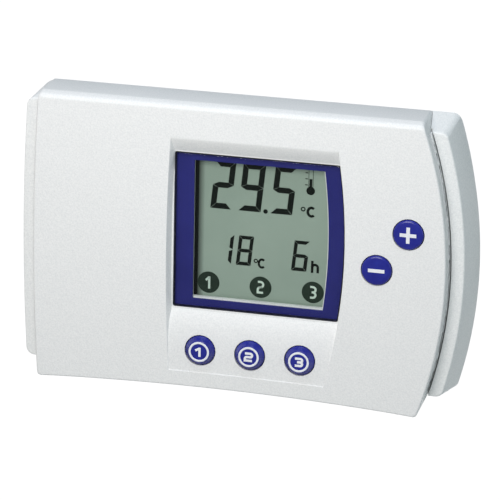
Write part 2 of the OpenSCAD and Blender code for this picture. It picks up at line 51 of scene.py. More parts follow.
def box_mm(node):
    """Limits of a CAD node: low and high corner in millimetres."""
    low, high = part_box(node)
    return low / MM, high / MM


cover_low, cover_high = box_mm("front_cover")
CASE = -cover_low.y  # depth of the case from the wall to the front panel
PANEL_TOP = cover_high.z
PANEL_BOTTOM = -42.8  # middle of the arched bottom edge
PANEL_LEFT, PANEL_RIGHT = -62.6, 62.4
RIGHT_BOW, LEFT_BOW = 133.0, 720.0
BOW_Z = -1.8
ARCH_X, ARCH_R = -10.0, 900.0
RIGHT_FALL, LEFT_FALL = 2.35, 1.45  # fall of the bottom edge to its corners
CORNER = 1.2
COVER_WALL = 2.0
TOP_ROLL = 3.0  # depth over which the top edge rolls to the front
TOP_DROP = 2.05  # fall of that roll
TOP_EDGE = 1.1  # rounding where it meets the face
BELT = 15.0  # depth at which the case is highest and widest
TOP_TAPER = 2.6  # fall of the top face from there to the wall
EDGE_R = 0.6  # rounding of the panel's other edges
SIDE_TOP = 38.5
SIDE_END = 12.0
LEDGE, GROOVE = 0.4, 0.35
CUT_TOP = -40  # upper end of the openings in the bottom wall
LIP_TOP = 40.9  # height that the ledge's front part reaches
COVER_ROOM = 0.15  # gap between the cover's walls and the wings

WING_D = 5.0
LEDGE_FRONT = WING_D - 0.6
WING_WIDTH = 4.6
WING_FLARE = 2.9  # of the right side towards the belt
LEFT_DRAW = 1.3  # how far the left side draws in at the belt
BACK_DRAW = 1.5  # how far both sides draw in from there to the wall
WING_CORNER, LEFT_CORNER = 2.5, 6.0
BELT_BOTTOM = -40.0
WING_TOP, WING_BOTTOM = 41.2, -39.8
WING_BACK_TOP, WING_BACK_BOTTOM = PANEL_TOP - TOP_TAPER, -42.2
ROOM_BACK_BOTTOM = -39.8
HOUSING_WALL = 1.8
BACK_WALL = CASE - HOUSING_WALL

RECESS_D = 2.6
RECESS_LEFT, RECESS_RIGHT = -21.5, 32.3
RECESS_TOP, RECESS_BOTTOM = 34.3, -38.0
RECESS_ARCH = 1500.0
RECESS_BOW, RECESS_LEFT_BOW = 170.0, 600.0
RECESS_FOOT = 0.25  # depth at the recess's bottom edge
LEFT_DRAFT, RIGHT_DRAFT = 0.4, 0.1  # slant of the recess's side walls
BACKING_EDGE = 2.2
DISPLAY_BOW_Z = 3.6
WINDOW_BOW = 167.0

pane_low, pane_high = box_mm("display_window")
SEAT_GAP = 0.1
WINDOW_LEFT, WINDOW_RIGHT = pane_low.x - SEAT_GAP, pane_high.x + SEAT_GAP
WINDOW_BOTTOM, WINDOW_TOP = pane_low.z - SEAT_GAP, pane_high.z + SEAT_GAP
RAMP_END, RAMP_START = WINDOW_BOTTOM - 0.5, WINDOW_TOP + 0.4  # below and above the window
PANE_BACK = CASE + pane_high.y
LEDGE_D = CASE + box_mm("window_mask")[1].y
LEDGE_BACK = LEDGE_D + 1.3
OPEN_LEFT = WINDOW_LEFT + 5.7
OPEN_RIGHT = WINDOW_RIGHT - 5.2
OPEN_TOP = WINDOW_TOP - 2.6
OPEN_BOTTOM = WINDOW_BOTTOM + 2.6
RIM = 0.25  # width of the dark band around the pane
LCD_D = CASE + box_mm("lcd_panel")[0].y
INK = (LCD_D, LCD_D + 0.05)  # depths of the figures on the display
FIGURE_TOP = 27.6

COLLAR_END = 4.6
POST_R = 2.6
POST_AT = [(-21.5, 27.5), (-21.5, -27.5), (49, -17), (50, 25)]
BOARD_FRONT = CASE + box_mm("circuit_board")[0].y
SCREW_D = 18.75  # depth of the fixing screw in the bottom wall
HEAD_TOP = PANEL_BOTTOM + 1.2  # upper end of that screw's head
SLOT_X, SLOT_Z, SLOT_R, SLOT_RUN = 30.0, 35.5, 2.1, 1.4
ENTRY_X, ENTRY_Z = (37, 56), (-40.4, -34)
VENT_X, VENT_COUNT, VENT_PITCH, VENT_WIDTH = -34.0, 8, 4.0, 2.0
VENT_FRONT, VENT_BACK = 9, 17
HOOKS = (-24, 24)  # middles of the two hooks at the top
SCREW_HOLE_R = 1.05
FLANGE = 1.1  # reach of a cap's flange past its hole
WIDE, BELOW = 80, -50  # well past the case's sides and its bottom


def middle(node):
    """X and Z of a CAD node's middle, in millimetres."""
    low, high = box_mm(node)
    return (low.x + high.x) / 2, (low.z + high.z) / 2


ROW_KEYS = ["1", "2", "3"]
SIGN_KEYS = ["plus", "minus"]
KEY_AT = {key: middle("button_" + key) for key in ROW_KEYS + SIGN_KEYS}
cap_low, cap_high = box_mm("button_1")
HOLE_R = (cap_high.x - cap_low.x) / 2 - FLANGE
CAP_R = HOLE_R - 0.25
ROW_TOP = CASE + cap_low.y
SIGN_TOP = CASE + box_mm("button_plus")[0].y
FLANGE_BACK = CASE + cap_high.y

# ---- Outlines in the X-Z plane ----


def arc(cx, cz, r, a0, a1, n):
    """Points on an arc, angles in degrees."""
    angles = [math.radians(a0 + (a1 - a0) * i / n) for i in range(n + 1)]
    return [(cx + r * math.cos(a), cz + r * math.sin(a)) for a in angles]


def right_side(x, r, fillet, z0, z1, n=40, bow_z=BOW_Z, steps=8):
    """Right side of an outline from bottom to top: corner, bow, corner."""
    cx, inner = x - r, r - fillet
    a0 = math.degrees(math.asin((z0 + fillet - bow_z) / inner))
    a1 = math.degrees(math.asin((z1 - fillet - bow_z) / inner))
    low = cx + inner * math.cos(math.radians(a0))
    high = cx + inner * math.cos(math.radians(a1))
    return (arc(low, z0 + fillet, fillet, -90, a0, steps) + arc(cx, bow_z, r, a0, a1, n)[1:-1]
            + arc(high, z1 - fillet, fillet, a1, 90, steps))


def left_side(x, r, fillet, z0, z1, n=24):
    """Left side of an outline from top to bottom."""
    return [(-px, pz) for px, pz in reversed(right_side(-x, r, fillet, z0, z1, n))]


def panel_outline(grow=0.0, drop=0.0):
    """Outline of the front panel, grown by grow, with the top edge lowered by drop."""
    low = PANEL_BOTTOM - grow
    top = PANEL_TOP + grow - drop
    n = 28
    start, end = PANEL_LEFT + 3, PANEL_RIGHT - 11
    bottom = [start + (end - start) * i / n for i in range(1, n)]
    return (right_side(PANEL_RIGHT + grow, RIGHT_BOW + grow, CORNER, low - RIGHT_FALL, top)
            + left_side(PANEL_LEFT - grow, LEFT_BOW + grow, CORNER, low - LEFT_FALL, top)
            + [(x, low - (x - ARCH_X) ** 2 / (2 * ARCH_R)) for x in bottom])


def wing_outline(grow, top, bottom, fillet):
    """Outline of the rear housing; grow and fillet hold a value for the left and the right."""
    left, right = (WING_WIDTH + g for g in grow)
    return (right_side(PANEL_RIGHT + right, RIGHT_BOW + right, fillet[1], bottom, top)
            + left_side(PANEL_LEFT - left, LEFT_BOW + left, fillet[0], bottom, top))


def bowed_outline(x0, x1, z0, z1, bow, fillet=0.4):
    """Outline with a straight left side and a bowed right side, corners rounded."""
    return (arc(x0 + fillet, z0 + fillet, fillet, 180, 270, 6)
            + right_side(x1, bow, fillet, z0, z1, 32, DISPLAY_BOW_Z, 6)
            + arc(x0 + fillet, z1 - fillet, fillet, 90, 180, 6))


# ---- Mesh helpers ----

MERGE = 0.004
SHARP = 23.0


def to_row(x, d, z):
    return Vector((x * MM, (d - CASE) * MM, z * MM))


def solid(name, vertices, faces):
    """Object from vertices (x, d, z) in millimetres, with its faces turned outwards."""
    mesh = bpy.data.meshes.new(name)
    mesh.from_pydata([to_row(*v) for v in vertices], [], faces)
    bm = bmesh.new()
    bm.from_mesh(mesh)
    bmesh.ops.recalc_face_normals(bm, faces=bm.faces)
    bm.to_mesh(mesh)
    bm.free()
    obj = bpy.data.objects.new(name, mesh)
    bpy.context.scene.collection.objects.link(obj)
    return obj


def through(name, rings):
    """Solid through rings of equal point counts, each a list of (x, d, z) points."""
    n = len(rings[0])
    last = (len(rings) - 1) * n
    faces = [tuple(range(n)), tuple(reversed(range(last, last + n)))]
    for k in range(0, last, n):
        for i in range(n):
            j = (i + 1) % n
            faces.append((k + i, k + n + i, k + n + j, k + j))
    return solid(name, [point for points in rings for point in points], faces)


def loft(name, sections):
    """Solid through outlines of equal point counts, each given as (depth, points)."""
    return through(name, [[(x, d, z) for x, z in points] for d, points in sections])


def prism(name, points, d0, d1):
    return loft(name, [(d0, points), (d1, points)])


def block(name, x0, x1, d0, d1, z0, z1):
    return prism(name, [(x0, z0), (x1, z0), (x1, z1), (x0, z1)], d0, d1)


def across(name, x0, x1, section):
    """Prism along X whose section is given as (depth, height) points."""
    return through(name, [[(x, d, z) for d, z in section] for x in (x0, x1)])


def lathe(name, at, profile, steps=96):
    """Solid of revolution along the depth; profile holds (radius, depth), ends on the axis."""
    inner = profile[1:-1]
    vertices = [(at[0], profile[0][1], at[1])]
    for r, d in inner:
        vertices += [(x, d, z) for x, z in arc(at[0], at[1], r, 0, 360, steps)[:-1]]
    vertices.append((at[0], profile[-1][1], at[1]))
    faces = []
    for i in range(steps):
        j = (i + 1) % steps
        faces.append((0, 1 + i, 1 + j))
        for k in range(len(inner) - 1):
            a, b = 1 + k * steps, 1 + (k + 1) * steps
            faces.append((a + i, b + i, b + j, a + j))
        last = 1 + (len(inner) - 1) * steps
        faces.append((last + i, len(vertices) - 1, last + j))
    return solid(name, vertices, faces)


def rod(name, at, r, d0, d1, steps=96):
    return prism(name, arc(at[0], at[1], r, 0, 360, steps)[:-1], d0, d1)


def add_modifier(obj, kind, **settings):
    modifier = obj.modifiers.new(kind.lower(), kind)
    for key, value in settings.items():
        setattr(modifier, key, value)


def bake(obj, kind, **settings):
    """Adds a modifier and works it into the mesh."""
    add_modifier(obj, kind, **settings)
    old = obj.data
    graph = bpy.context.evaluated_depsgraph_get()
    obj.data = bpy.data.meshes.new_from_object(obj.evaluated_get(graph))
    obj.modifiers.clear()
    bpy.data.meshes.remove(old)


def combine(obj, others, operation):
    """Boolean of obj with each of the others, which are removed."""
    for other in others:
        bake(obj, "BOOLEAN", operation=operation, solver="EXACT", object=other)
        bpy.data.objects.remove(other)
    return obj


def cut(obj, *others):
    return combine(obj, others, "DIFFERENCE")


def unite(obj, *others):
    return combine(obj, others, "UNION")


def clean(obj):
    """Merges points that lie closer than MERGE."""
    bm = bmesh.new()
    bm.from_mesh(obj.data)
    bmesh.ops.remove_doubles(bm, verts=bm.verts, dist=MERGE * MM)
    bmesh.ops.dissolve_degenerate(bm, dist=MERGE * MM, edges=bm.edges)
    bm.to_mesh(obj.data)
    bm.free()


def soften(obj, width, where=None):
    """Rounds the edges that turn by more than SHARP degrees, where their middle passes where."""
    bm = bmesh.new()
    bm.from_mesh(obj.data)
    weight = bm.edges.layers.float.new("bevel_weight_edge")
    for edge in bm.edges:
        if len(edge.link_faces) == 2 and edge.calc_face_angle(0) > math.radians(SHARP):
            spot = (edge.verts[0].co + edge.verts[1].co) / 2 / MM
            if where is None or where(spot.x, spot.y + CASE, spot.z):
                edge[weight] = 1.0
    bm.to_mesh(obj.data)
    bm.free()
    bake(obj, "BEVEL", width=width * MM, segments=3, limit_method="WEIGHT",
         use_clamp_overlap=False, miter_outer="MITER_ARC")
    return smooth(obj)


def smooth(obj, angle=34.0):
    mesh = obj.data
    mesh.polygons.foreach_set("use_smooth", [True] * len(mesh.polygons))
    mesh.set_sharp_from_angle(angle=math.radians(angle))
    bake(obj, "WEIGHTED_NORMAL", keep_sharp=True, weight=80)
    return obj


def place(obj, material, body, slot, replaced):
    """Gives a finished piece its material and its body, and hides the CAD node that it stands for."""
    obj.data.materials.clear()
    obj.data.materials.append(material)
    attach(obj, body)
    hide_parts(replaced)


# ---- Case ----


def rounded(d, r):
    """Inset of a quarter-round edge of radius r at depth d."""
    return r - math.sqrt(r * r - (r - d) ** 2) if d < r else 0.0


def top_fall(d):
    """How far the panel's top edge lies below its highest point at depth d."""
    if d > TOP_ROLL:
        return TOP_TAPER * max(0.0, d - BELT) / (CASE - BELT)
    return (TOP_DROP - TOP_EDGE) * (1 - d / TOP_ROLL) ** 1.2 + rounded(d, TOP_EDGE)


def panel_section(d):
    inset = rounded(d, EDGE_R)
    return d, panel_outline(-inset, top_fall(d) - inset)


def ramp_depth(z):
    """Depth of the recess below, around and above the window."""
    if z < RAMP_END:
        t = (z - RECESS_BOTTOM) / (RAMP_END - RECESS_BOTTOM)
        return RECESS_FOOT + (RECESS_D - RECESS_FOOT) * (0.12 * t + 0.88 * t ** 4)
    if z < RAMP_START:
        return RECESS_D
    t = (z - RAMP_START) / (RECESS_TOP - RAMP_START)
    return RECESS_D * max(0.0, 1 - t) ** 1.3


def recess_cutter():
    """Recess around the window, built from rows that follow the height."""
    runs = ((RECESS_BOTTOM, RAMP_END, 24), (RAMP_END, RAMP_START, 8),
            (RAMP_START, RECESS_TOP + 0.1, 20))
    stops = [RECESS_BOTTOM] + [start + (end - start) * i / n
                               for start, end, n in runs for i in range(1, n + 1)]
    columns = 12
    rings = []
    for z in stops:
        left = RECESS_LEFT + RECESS_LEFT_BOW - math.sqrt(RECESS_LEFT_BOW ** 2 - z * z)
        right = RECESS_RIGHT - RECESS_BOW + math.sqrt(RECESS_BOW ** 2 - (z - DISPLAY_BOW_Z) ** 2)
        arched = max(0.0, (RAMP_END - z) / (RAMP_END - RECESS_BOTTOM))
        front, deep = [], []
        for i in range(columns + 1):
            share = i / columns
            x = left + (right - left) * share
            low = z - arched * (x - ARCH_X) ** 2 / (2 * RECESS_ARCH)
            slant = RIGHT_DRAFT * share - LEFT_DRAFT * (1 - share)
            front.append((x + slant, -1, low))
            deep.append((x - slant * ramp_depth(z), ramp_depth(low), low))
        rings.append(front + deep[::-1])
    count = len(rings[0])
    faces = []
    for a in range(0, count * (len(rings) - 1), count):
        b = a + count
        faces += [(a + i, a + (i + 1) % count, b + (i + 1) % count, b + i) for i in range(count)]
    for a in (0, count * (len(rings) - 1)):
        faces += [(a + i, a + i + 1, a + count - 2 - i, a + count - 1 - i)
                  for i in range(columns)]
    return solid("recess", [point for points in rings for point in points], faces)


def cover_blank():
    """Hollow front cover before the recess and the openings are cut."""
    depths = [0, 0.03, 0.08, 0.16, 0.28, 0.42, 0.6, 0.82, 1.1, 1.5, 2.1, 2.6, 2.92, 3.0, 3.08,
              BELT, CASE]
    body = loft("cover_shell", [panel_section(d) for d in depths])
    cavity = loft("cavity", [(COVER_WALL, panel_outline(-COVER_WALL, 1)),
                             (TOP_ROLL + 1, panel_outline(-COVER_WALL)),
                             (BELT, panel_outline(-COVER_WALL)),
                             (CASE + 1, panel_outline(-COVER_WALL, TOP_TAPER))])
    return cut(body, cavity)


def side_ledge(end, height):
    """Ledge at the foot of the side walls, back to the depth end and up to a height."""
    ledge = prism("ledge", panel_outline(LEDGE), LEDGE_FRONT, end)
    hole = prism("ledge_hole", panel_outline(0.5 - COVER_WALL), WING_D - 1, SIDE_END + 1)
    top = block("ledge_top", -WIDE, WIDE, 0, CASE, height, WIDE)
    bottom = block("ledge_bottom", -WIDE, WIDE, 0, CASE, -WIDE, -height)
    return cut(ledge, hole, top, bottom)


def recess_backing():
    return across("backing", RECESS_LEFT - 2, RECESS_RIGHT + 2, [
        (1, RECESS_BOTTOM - 1), (BACKING_EDGE, RECESS_BOTTOM - 1),
        (LEDGE_BACK, WINDOW_BOTTOM - 1.6), (LEDGE_BACK, WINDOW_TOP + 1.6),
        (BACKING_EDGE, RECESS_TOP + 1), (1, RECESS_TOP + 1)])


def cover_fittings():
    """Collars around the buttons, posts for the board and ribs behind the housing's hooks."""
    collars = [rod("collar", at, HOLE_R + 1.65, 1, COLLAR_END) for at in KEY_AT.values()]
    posts = [rod("post", at, POST_R, 1, BOARD_FRONT, 48) for at in POST_AT]
    ribs = [block("rib", x - 3, x + 3, 17, 18.2, 40.95, PANEL_TOP - 2.3) for x in HOOKS]
    return collars + posts + ribs


def window_cutters():
    seat = prism("seat", bowed_outline(WINDOW_LEFT, WINDOW_RIGHT, WINDOW_BOTTOM, WINDOW_TOP,
                                       WINDOW_BOW, 0.6), -1, LEDGE_D)
    hole = prism("hole", bowed_outline(OPEN_LEFT - 0.2, OPEN_RIGHT - 0.3, OPEN_BOTTOM + 0.5,
                                       OPEN_TOP + 0.2, WINDOW_BOW, 0.4), -1, LEDGE_BACK + 1)
    return [seat, hole]


def key_cutters():
    holes = [rod("key_hole", at, HOLE_R, -1.5, COLLAR_END + 1) for at in KEY_AT.values()]
    rooms = [rod("flange_room", at, HOLE_R + 1.3, COLLAR_END, LEDGE_BACK + 1)
             for at in KEY_AT.values()]
    return holes + rooms


def vent_cutters():
    return [block("vent", x, x + VENT_WIDTH, VENT_FRONT, VENT_BACK, BELOW, CUT_TOP)
            for x in (VENT_X + VENT_PITCH * i for i in range(VENT_COUNT))]


def upright_hole(name, r, top):
    """Vertical cylinder from below the case to the height top, on the fixing screw's axis."""
    points = arc(0, SCREW_D, r, 0, 360, 48)[:-1]
    return through(name, [[(x, d, z) for x, d in points] for z in (BELOW, top)])


def on_cover_outside(x, d, z):
    """True for edges of the recess, the ledges and the vents, but not beside a button."""
    at_key = any(math.hypot(x - kx, z - kz) < HOLE_R + 0.4 for kx, kz in KEY_AT.values())
    in_front = d < 0.05
    in_recess = (d < RECESS_D + 0.05 and RECESS_LEFT - 1 < x < RECESS_RIGHT + 1
                 and RECESS_BOTTOM - 1 < z < RECESS_TOP + 1)
    on_ledge = abs(d - LEDGE_FRONT) < 0.05 and abs(x) > 50
    on_bottom = z < PANEL_BOTTOM + 0.1 and 8 < d < 20
    return (in_front or in_recess or on_ledge or on_bottom) and not at_key


def front_cover():
    shell = unite(cover_blank(), side_ledge(SIDE_END, SIDE_TOP),
                  side_ledge(WING_D + HOUSING_WALL, LIP_TOP), recess_backing(),
                  *cover_fittings())
    screws = [rod("screw_hole", at, SCREW_HOLE_R, 9, CASE, 32) for at in POST_AT]
    side = block("side_end", -WIDE, WIDE, SIDE_END, CASE + 1, -SIDE_TOP, SIDE_TOP)
    cut(shell, recess_cutter(), *window_cutters(), *key_cutters(), *screws, side,
        *vent_cutters(), upright_hole("screw_way", 1.3, CUT_TOP),
        upright_hole("head_way", 2.3, HEAD_TOP))
    clean(shell)
    soften(shell, 0.16, on_cover_outside)
    place(shell, cover_plastic(), "case", "cover", "front_cover")


def wing_section(d):
    """Outline of the housing at depth d: widest at the belt, softly rounded at its front."""
    inset = rounded(d - WING_D, 0.5)
    share = min(1.0, (d - WING_D) / (BELT - WING_D))
    rest = max(0.0, (d - BELT) / (CASE - BELT))
    top = WING_TOP + (PANEL_TOP - WING_TOP) * share - TOP_TAPER * rest
    bottom = (WING_BOTTOM + (BELT_BOTTOM - WING_BOTTOM) * share
              + (WING_BACK_BOTTOM - BELT_BOTTOM) * rest)
    grow = (-LEFT_DRAW * share - BACK_DRAW * rest - inset,
            WING_FLARE * share - BACK_DRAW * rest - inset)
    left_corner = WING_CORNER + (LEFT_CORNER - WING_CORNER) * share
    return d, wing_outline(grow, top - inset, bottom + inset, (left_corner, WING_CORNER))


def housing_room():
    """Space inside the housing."""
    thin = HOUSING_WALL
    front = wing_outline((-thin, 0.2 - thin), WING_TOP - thin, WING_BOTTOM + thin, (1.5, 1.5))
    belt = wing_outline((-LEFT_DRAW - thin, WING_FLARE - 0.2 - thin), PANEL_TOP - thin,
                        BELT_BOTTOM + thin, (4, 1.5))
    back = wing_outline((-LEFT_DRAW - BACK_DRAW - thin, WING_FLARE - BACK_DRAW - thin),
                        WING_BACK_TOP - thin, ROOM_BACK_BOTTOM, (4, 1.5))
    return loft("housing_room", [(WING_D + thin, front), (BELT, belt), (BACK_WALL, back)])


def cover_room():
    """Space that the cover's walls take inside the housing's outline."""
    front = prism("front_room", panel_outline(LEDGE + GROOVE), WING_D - 1,
                  WING_D + HOUSING_WALL + 0.2)
    walls = prism("wall_room", panel_outline(COVER_ROOM), WING_D - 1, CASE + 1)
    inner = prism("inner", panel_outline(-COVER_WALL - 0.4, TOP_TAPER), WING_D - 2, CASE + 2)
    sides = block("sides", -WIDE, WIDE, 0, CASE + 2, 0.5 - SIDE_TOP, SIDE_TOP - 0.5)
    return [front, cut(walls, inner, sides)]


def screw_slots():
    """Four slots for the wall screws, which let the case shift sideways."""
    outlines = [arc(x - SLOT_RUN, z, SLOT_R, 90, 270, 24) + arc(x + SLOT_RUN, z, SLOT_R, -90, 90, 24)
                for x in (-SLOT_X, SLOT_X) for z in (-SLOT_Z, SLOT_Z)]
    return [prism("slot", outline, BACK_WALL - 1, CASE + 1) for outline in outlines]


def housing_rim():
    """Inner rims, the hooks for the cover and the boss of its fixing screw."""
    back, front = BACK_WALL + 0.01, SIDE_END
    inner, outer = 39.3, 40.6
    return [block("rim_top", -46, 46, front, back, inner, outer),
            block("rim_low_left", -56, -38, front, back, -outer, -inner),
            block("rim_low", 8, 24, 18, back, -outer, -inner),
            block("boss", -3.4, 3.4, 17.3, back, -40.4, -36.2),
            *(block("hook", x - 3, x + 3, 15.2, 16.6, 40.5, 41.3) for x in HOOKS)]


def on_housing_outside(_x, d, _z):
    """True for the edges of the wing faces and of the openings in the back."""
    return d < WING_D + 0.05 or d > CASE - 0.05


def rear_housing():
    depths = [WING_D + s for s in (0, 0.04, 0.1, 0.18, 0.32, 0.5)] + [BELT, CASE]
    shell = loft("housing_shell", [wing_section(d) for d in depths])
    entry = block("entry", ENTRY_X[0], ENTRY_X[1], BACK_WALL - 1, CASE + 1, *ENTRY_Z)
    before_rim = block("before_rim", -60, 54, WING_D, SIDE_END, 39.2, PANEL_TOP)
    cut(shell, housing_room(), *cover_room(), *screw_slots(), entry, before_rim)
    unite(shell, *housing_rim())
    cut(shell, upright_hole("fixing_hole", SCREW_HOLE_R, -36.6))
    clean(shell)
    soften(shell, 0.14, on_housing_outside)
    place(shell, housing_plastic(), "case", "housing", "rear_housing")


# ---- Display ----


def pane_outline(inset):
    return bowed_outline(WINDOW_LEFT + SEAT_GAP + inset, WINDOW_RIGHT - SEAT_GAP - inset,
                         WINDOW_BOTTOM + SEAT_GAP + inset, WINDOW_TOP - SEAT_GAP - inset,
                         WINDOW_BOW - inset, 0.6 - inset)


def window_pane():
    """Clear pane with softened front edges."""
    inset = RIM + 0.02
    edge = [(RECESS_D + d, pane_outline(inset + rounded(d, 0.2))) for d in (0, 0.03, 0.08, 0.2)]
    pane = smooth(loft("window_pane", edge + [(PANE_BACK, pane_outline(inset))]))
    place(pane, clear_pane(), "case", "pane", "display_window")


def window_rim():
    """Dark band around the side of the pane, painted shade that stands in for the deep shadow in the
    gap between the pane and its seat.
    """
    depths = [(0.05, 0.1), (0.15, 0), (1.5, 0)]
    rim = loft("window_rim", [(RECESS_D + d, pane_outline(inset)) for d, inset in depths])
    cut(rim, prism("rim_hole", pane_outline(RIM), 0, CASE))
    smooth(rim, 30)
    place(rim, rim_painted_shade(), "case", "mask", "display_window")


def window_frame():
    """Blue frame printed behind the pane."""
    plate = prism("window_frame", pane_outline(0), PANE_BACK + 0.01, LEDGE_D)
    hole = bowed_outline(OPEN_LEFT, OPEN_RIGHT, OPEN_BOTTOM, OPEN_TOP, WINDOW_BOW, 0.3)
    cut(plate, prism("frame_hole", hole, 0, CASE))
    clean(plate)
    soften(plate, 0.06, lambda x, d, z: d < PANE_BACK + 0.02)
    place(plate, blue_print(), "case", "mask", "window_mask")


def ribbon(name, path, width, d0, d1, closed=False):
    """Flat stroke of even width along the points of a path."""
    n = len(path)
    left, right = [], []
    for i in range(n):
        before = path[(i - 1) % n] if closed or i > 0 else path[i]
        after = path[(i + 1) % n] if closed or i < n - 1 else path[i]
        a = Vector((path[i][0] - before[0], path[i][1] - before[1]))
        b = Vector((after[0] - path[i][0], after[1] - path[i][1]))
        a = a.normalized() if a.length > 0 else b.normalized()
        b = b.normalized() if b.length > 0 else a
        normal = Vector((-(a.y + b.y), a.x + b.x)).normalized()
        reach = width / 2 / max(0.5, normal.dot(Vector((-a.y, a.x))))
        left.append((path[i][0] + normal.x * reach, path[i][1] + normal.y * reach))
        right.append((path[i][0] - normal.x * reach, path[i][1] - normal.y * reach))
    vertices = [(x, d, z) for d in (d0, d1) for x, z in left + right]
    faces = []
    for i in range(n if closed else n - 1):
        j = (i + 1) % n
        for low in (0, 2 * n):
            faces.append((low + i, low + j, low + n + j, low + n + i))
        faces += [(i, j, 2 * n + j, 2 * n + i), (n + i, n + j, 3 * n + j, 3 * n + i)]
    if not closed:
        faces += [(0, n, 3 * n, 2 * n), (n - 1, 2 * n - 1, 4 * n - 1, 3 * n - 1)]
    return solid(name, vertices, faces)


def segment_shapes(w, h, stroke, gap=0.08):
    """Outlines of the seven segments of a figure of width w and height h."""
    half, tip = h / 2, stroke / 2
    a = [(gap, h), (w - gap, h), (w - stroke - gap / 2, h - stroke),
         (stroke + gap / 2, h - stroke)]
    f = [(0, h - gap), (stroke, h - stroke - gap / 2), (stroke, half + tip + gap / 2),
         (0, half + gap)]
    g = [(gap, half), (stroke + gap / 2, half + tip), (w - stroke - gap / 2, half + tip),
         (w - gap, half), (w - stroke - gap / 2, half - tip), (stroke + gap / 2, half - tip)]
    b = [(w - x, z) for x, z in f]
    return {"a": a, "b": b, "c": [(x, h - z) for x, z in b], "d": [(x, h - z) for x, z in a],
            "e": [(x, h - z) for x, z in f], "f": f, "g": g}


SEGMENTS = {"1": "bc", "2": "abged", "5": "afgcd", "6": "afgedc", "8": "abcdefg",
            "9": "abcdfg"}


def figure(name, character, x, z, width, height, stroke, slant):
    """Seven-segment figure with its lower left corner at (x, z)."""
    shapes = segment_shapes(width, height, stroke)
    return [prism(f"{name}_{segment}",
                  [(x + px + slant * pz, z + pz) for px, pz in shapes[segment]],
                  *INK) for segment in SEGMENTS[character]]


def letter_c(name, x, z, width, height, stroke):
    points = [(x + width / 2 + width / 2 * math.cos(a), z + height / 2 + height / 2 * math.sin(a))
              for a in (math.radians(48 + 264 * i / 24) for i in range(25))]
    return ribbon(name, points, stroke, *INK)


def ring(name, x, z, r, stroke):
    return ribbon(name, arc(x, z, r, 0, 360, 24)[:-1], stroke, *INK, True)


def letter_h(name, x, z, width, height, stroke):
    stem = ribbon(name + "_stem", [(x, z), (x, z + height)], stroke, *INK)
    bow = [(x, z + height * 0.45)] + arc(x + width / 2, z + height * 0.45, width / 2, 150, 0, 10)
    leg = ribbon(name + "_bow", bow + [(x + width, z)], stroke, *INK)
    return [stem, leg]


def thermometer(x, z):
    """Thermometer sign: bulb, column, outline of the tube and three marks."""
    return [rod("therm_bulb", (x, z), 1.3, *INK, 32),
            block("therm_column", x - 0.42, x + 0.42, *INK, z + 1, z + 3.6),
            block("therm_left", x - 0.72, x - 0.58, *INK, z + 1.2, FIGURE_TOP),
            block("therm_right", x + 0.58, x + 0.72, *INK, z + 1.2, FIGURE_TOP),
            *(block(f"therm_mark_{i}", x - 1.7, x - 0.9, *INK, z + 1.6 + 1.85 * i,
                    z + 1.85 + 1.85 * i) for i in range(3))]


def numeral(name, character, x, z, width, height, stroke, d0, d1):
    """Wide rounded numeral 1, 2 or 3 centred at (x, z)."""
    w, h = (width - stroke) / 2, (height - stroke) / 2
    r = h / 2
    if character == "1":
        path = [(x - w, z + h * 0.35), (x + stroke * 0.1, z + h * 0.92),
                (x + stroke * 0.3, z + h * 0.92), (x + stroke * 0.3, z - h - stroke / 2)]
        return [ribbon(name, path, stroke, d0, d1)]
    if character == "2":
        upper = [(x - w, z + h)] + arc(x + w - r, z + r, r, 90, -90, 12)
        lower = arc(x - w + r, z - r, r, 90, 180, 6) + [(x - w, z - h), (x + w, z - h)]
        return [ribbon(name, upper + lower, stroke, d0, d1)]
    top = [(x - w, z + h)] + arc(x + w - r, z + r, r, 90, -90, 12) + [(x - w * 0.4, z)]
    low = [(x + w - r, z)] + arc(x + w - r, z - r, r, 90, -90, 12) + [(x - w, z - h)]
    return [ribbon(name + "_top", top, stroke, d0, d1),
            ribbon(name + "_low", low, stroke, d0 + 0.01, d1)]


def on_display(material, *pieces):
    for piece in pieces:
        place(piece, material, "case", "display", "lcd_panel")


def lcd_readings():
    """Big reading 29.5, small readings 18 and 6 h, and the signs beside them."""
    pieces = []
    for character, x, width in (("2", -10.0, 6.3), ("9", -1.5, 6.8), ("5", 8.2, 6.6)):
        pieces += figure("big_" + character, character, x, 11.6, width, 14.7, 1.7, 0.096)
    pieces.append(rod("big_point", (6.8, 12.0), 0.68, *INK, 24))
    for character, x in (("1", -7.9), ("8", -1.9)):
        pieces += figure("small_" + character, character, x, -5.35, 4.5, 9.2, 1.05, 0.1)
    pieces += figure("hours_6", "6", 14.9, -5.45, 4.6, 9.4, 1.05, 0.1)
    pieces += letter_h("hours_h", 21.3, -5.6, 1.7, 3.7, 0.75)
    pieces += [ring("big_degree", 18.1, 13.8, 0.55, 0.34), ring("small_degree", 4.2, -3.6, 0.5, 0.32),
               letter_c("big_c", 19.5, 11.8, 2.2, 2.6, 0.78),
               letter_c("small_c", 5.1, -5.5, 1.9, 2.5, 0.68)]
    # dark edge of the glass beside the readings
    pieces.append(block("dark_edge", -16.4, -13.5, *INK, -17, 28))
    on_display(display_ink(), *pieces, *thermometer(20.2, 19.6))


def lcd_markers():
    """Dark circles with pale numerals 1, 2 and 3."""
    for i, character in enumerate("123"):
        at = (-10.1 + 15.9 * i, -11.7)
        disc = rod("marker_" + character, at, 3.35, LCD_D + 0.025, INK[1], 64)
        on_display(marker_ink(), disc)
        marks = numeral("marker_numeral_" + character, character, *at, 2.3, 4.0, 0.66, LCD_D,
                        LCD_D + 0.03)
        on_display(marker_numeral_ink(), *marks)


